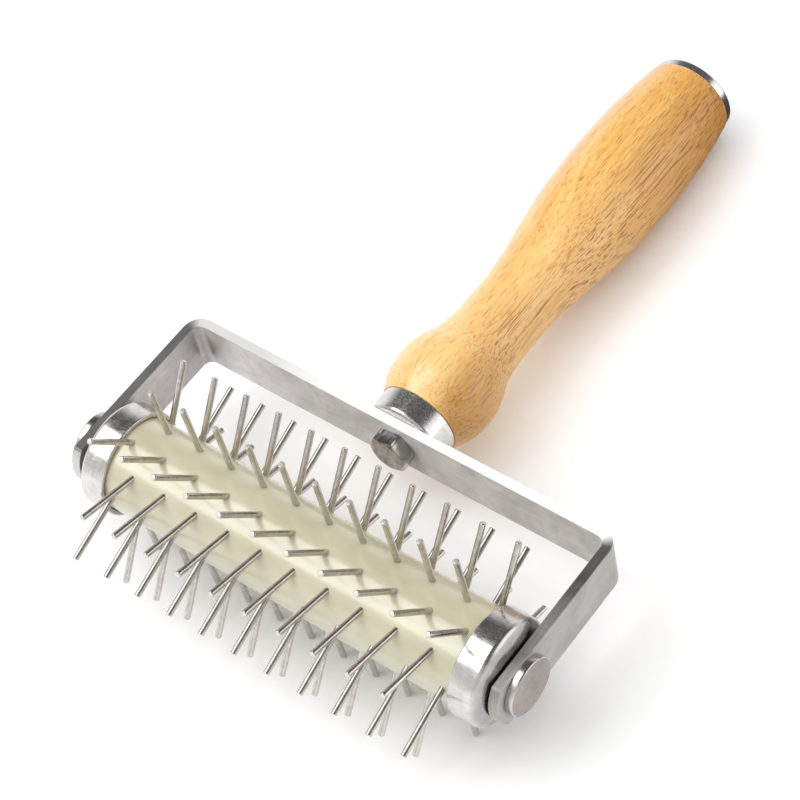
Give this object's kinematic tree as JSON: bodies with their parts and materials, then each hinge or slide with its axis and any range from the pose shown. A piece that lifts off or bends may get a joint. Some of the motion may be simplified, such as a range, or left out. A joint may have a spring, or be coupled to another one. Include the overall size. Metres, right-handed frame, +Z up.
{
  "type": "dough docker",
  "caption": "Hand roller with leaning steel pins in a plastic core, on an axle in a bent steel strip with a turned wood handle, for pricking rolled dough.",
  "frame": {"origin": "middle of the tool's box at table height, where it rests on two rows of pins and the handle's belly", "axes": "+X along the axle, +Y towards the end of the handle, +Z up"},
  "size_m": [0.134, 0.1976, 0.055],
  "materials": {
    "strip_steel": "satin, slightly mottled",
    "head_steel": "satin",
    "bolt_steel": "zinc plated",
    "ferrule_steel": "polished, finely scratched",
    "insert_steel": "plain",
    "cap_steel": "polished",
    "cup_steel": "polished",
    "bush_brass": "plain",
    "pin_steel": "bright drawn wire",
    "pale_plastic": "glossy, pale greenish ivory",
    "lacquered_wood": "honey lacquer with dark pores"
  },
  "bodies": {
    "frame": {"yoke": "strip_steel", "axle": "head_steel", "axle_end_head": "head_steel", "handle_bolt": "bolt_steel", "ferrule": "ferrule_steel", "handle_insert": "insert_steel", "handle": "lacquered_wood", "end_cap": "cap_steel"},
    "roller": {"roller_core": "pale_plastic", "cup_left": "cup_steel", "cup_right": "cup_steel", "bush_left": "bush_brass", "bush_right": "bush_brass", "pin_row_01": "pin_steel", "pin_row_02": "pin_steel", "pin_row_03": "pin_steel", "pin_row_04": "pin_steel", "pin_row_05": "pin_steel", "pin_row_06": "pin_steel", "pin_row_07": "pin_steel", "pin_row_08": "pin_steel", "pin_row_09": "pin_steel", "pin_row_10": "pin_steel"}
  },
  "joints": [
    {"name": "roller_spin", "type": "hinge", "parent": "frame", "child": "roller", "pos_m": [0.0008, -0.06998, 0.02749], "axis": [1, 0, 0], "continuous": true}
  ]
}
